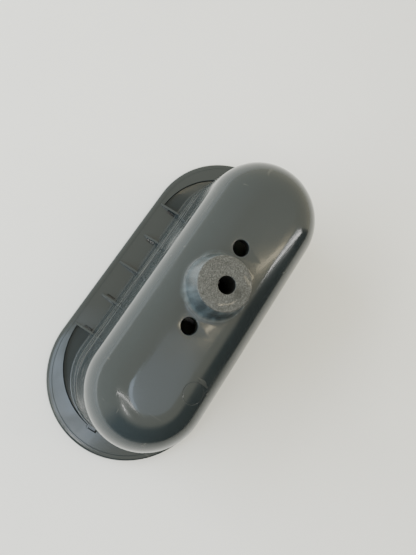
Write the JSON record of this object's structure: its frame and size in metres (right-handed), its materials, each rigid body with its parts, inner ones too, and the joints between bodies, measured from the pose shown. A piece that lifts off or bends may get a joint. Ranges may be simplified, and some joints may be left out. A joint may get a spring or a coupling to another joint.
{
  "type": "suction grab bar foot",
  "caption": "Stadium-shaped moulded vacuum foot of a grab bar: deep flanged cup with a boss and screw holes, a rubber diaphragm and a sprung draw stem.",
  "frame": {"origin": "centre of the flange's outline, on the plane of the wall that the foot sits on", "axes": "+X along the long side of the foot, +Y across it, +Z away from the wall towards the closed face and its boss"},
  "size_m": [0.1354, 0.0666, 0.0657],
  "materials": {
    "housing_plastic": "glossy moulded blue-grey plastic, eroded texture on the boss face",
    "seal_rubber": "soft black rubber",
    "diaphragm_rubber": "smooth black rubber",
    "frame_plastic": "matte dark grey plastic",
    "plate_plastic": "matte natural plastic",
    "bush_plastic": "matte white bearing plastic",
    "zinc_steel": "bright zinc plated steel",
    "black_steel": "black oxide on turned steel",
    "spring_steel": "drawn spring wire"
  },
  "bodies": {
    "foot": {"housing": "housing_plastic", "rim_seal": "seal_rubber", "suction_diaphragm": "diaphragm_rubber", "clamp_frame": "frame_plastic", "clamp_screws": "zinc_steel", "spring_seat": "zinc_steel", "stem_bush": "bush_plastic"},
    "plunger": {"pressure_plate": "plate_plastic", "draw_stem": "black_steel", "stem_washer": "zinc_steel", "stem_nut": "zinc_steel", "stem_circlip": "black_steel", "return_spring": "spring_steel"}
  },
  "joints": [
    {"name": "draw", "type": "slide", "parent": "foot", "child": "plunger", "axis": [0, 0, 1], "range_m": [0, 0.004], "stiffness_N_per_m": 2000, "springref_m": -0.006, "deforming": ["return_spring", "suction_diaphragm"]}
  ]
}
